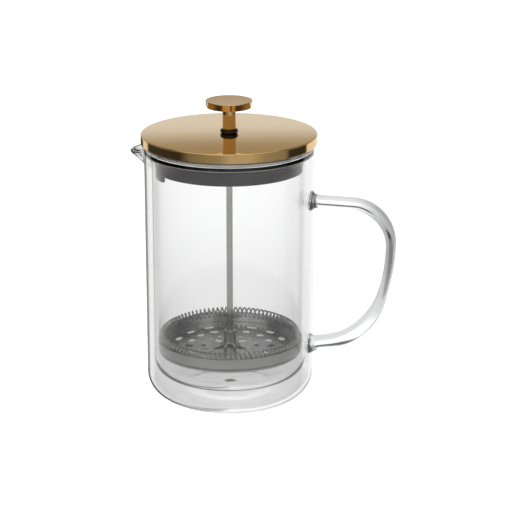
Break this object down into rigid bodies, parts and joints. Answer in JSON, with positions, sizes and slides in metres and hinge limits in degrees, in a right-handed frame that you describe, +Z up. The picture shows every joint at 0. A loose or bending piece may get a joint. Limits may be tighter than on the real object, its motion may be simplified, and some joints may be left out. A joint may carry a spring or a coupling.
{
  "type": "french press",
  "caption": "Cylindrical double-walled glass french press with a flat round metal lid, a mushroom-shaped plunger knob, a looped glass handle and a small pouring lip.",
  "frame": {"origin": "centre of the base, on the plane of the foot ring that rests on the table", "axes": "+Z up along the axis of the beaker and rod; +X towards the handle, -X towards the pouring spout"},
  "size_m": [0.1696, 0.1088, 0.1895],
  "materials": {
    "clear_glass": "clear blown borosilicate glass, fire-polished edges",
    "clear_silicone": "translucent soft silicone",
    "gold_steel": "polished steel with a warm gold coating",
    "black_plastic": "moulded black plastic",
    "black_gloss_plastic": "glossy black plastic",
    "stainless_steel": "bright stainless steel",
    "spring_steel": "bright coiled steel wire",
    "steel_mesh": "fine woven stainless mesh"
  },
  "bodies": {
    "beaker": {"outer_jacket": "clear_glass", "inner_beaker": "clear_glass", "glass_handle": "clear_glass", "vent_plug": "clear_silicone"},
    "guide": {"guide_bush": "black_gloss_plastic", "bush_nut": "stainless_steel"},
    "lid": {"lid_cap": "gold_steel", "lid_insert": "black_plastic"},
    "plunger": {"knob": "gold_steel", "plunger_rod": "stainless_steel", "rod_hub": "stainless_steel"},
    "discs": {"spiral_plate": "stainless_steel", "edge_spring": "spring_steel", "mesh_screen": "steel_mesh"},
    "clamp": {"cross_plate": "stainless_steel", "threaded_stud": "stainless_steel"}
  },
  "joints": [
    {"name": "lid_lift", "type": "slide", "parent": "beaker", "child": "guide", "axis": [0, 0, 1], "range_m": [0, 0.16]},
    {"name": "lid_turn", "type": "hinge", "parent": "guide", "child": "lid", "pos_m": [0, 0, 0.165], "axis": [0, 0, 1], "continuous": true},
    {"name": "plunger_slide", "type": "slide", "parent": "guide", "child": "plunger", "axis": [0, 0, 1], "range_m": [0, 0.1]},
    {"name": "discs_drop", "type": "slide", "parent": "plunger", "child": "discs", "axis": [0, 0, 1], "range_m": [-0.004, 0]},
    {"name": "plate_unscrew", "type": "hinge", "parent": "discs", "child": "clamp", "pos_m": [0, 0, 0.027], "axis": [0, 0, 1], "range_deg": [0, 2058]}
  ],
  "couplings": [
    {"joint": "plate_unscrew", "follows": "discs_drop", "rad_per_m": -8976}
  ]
}
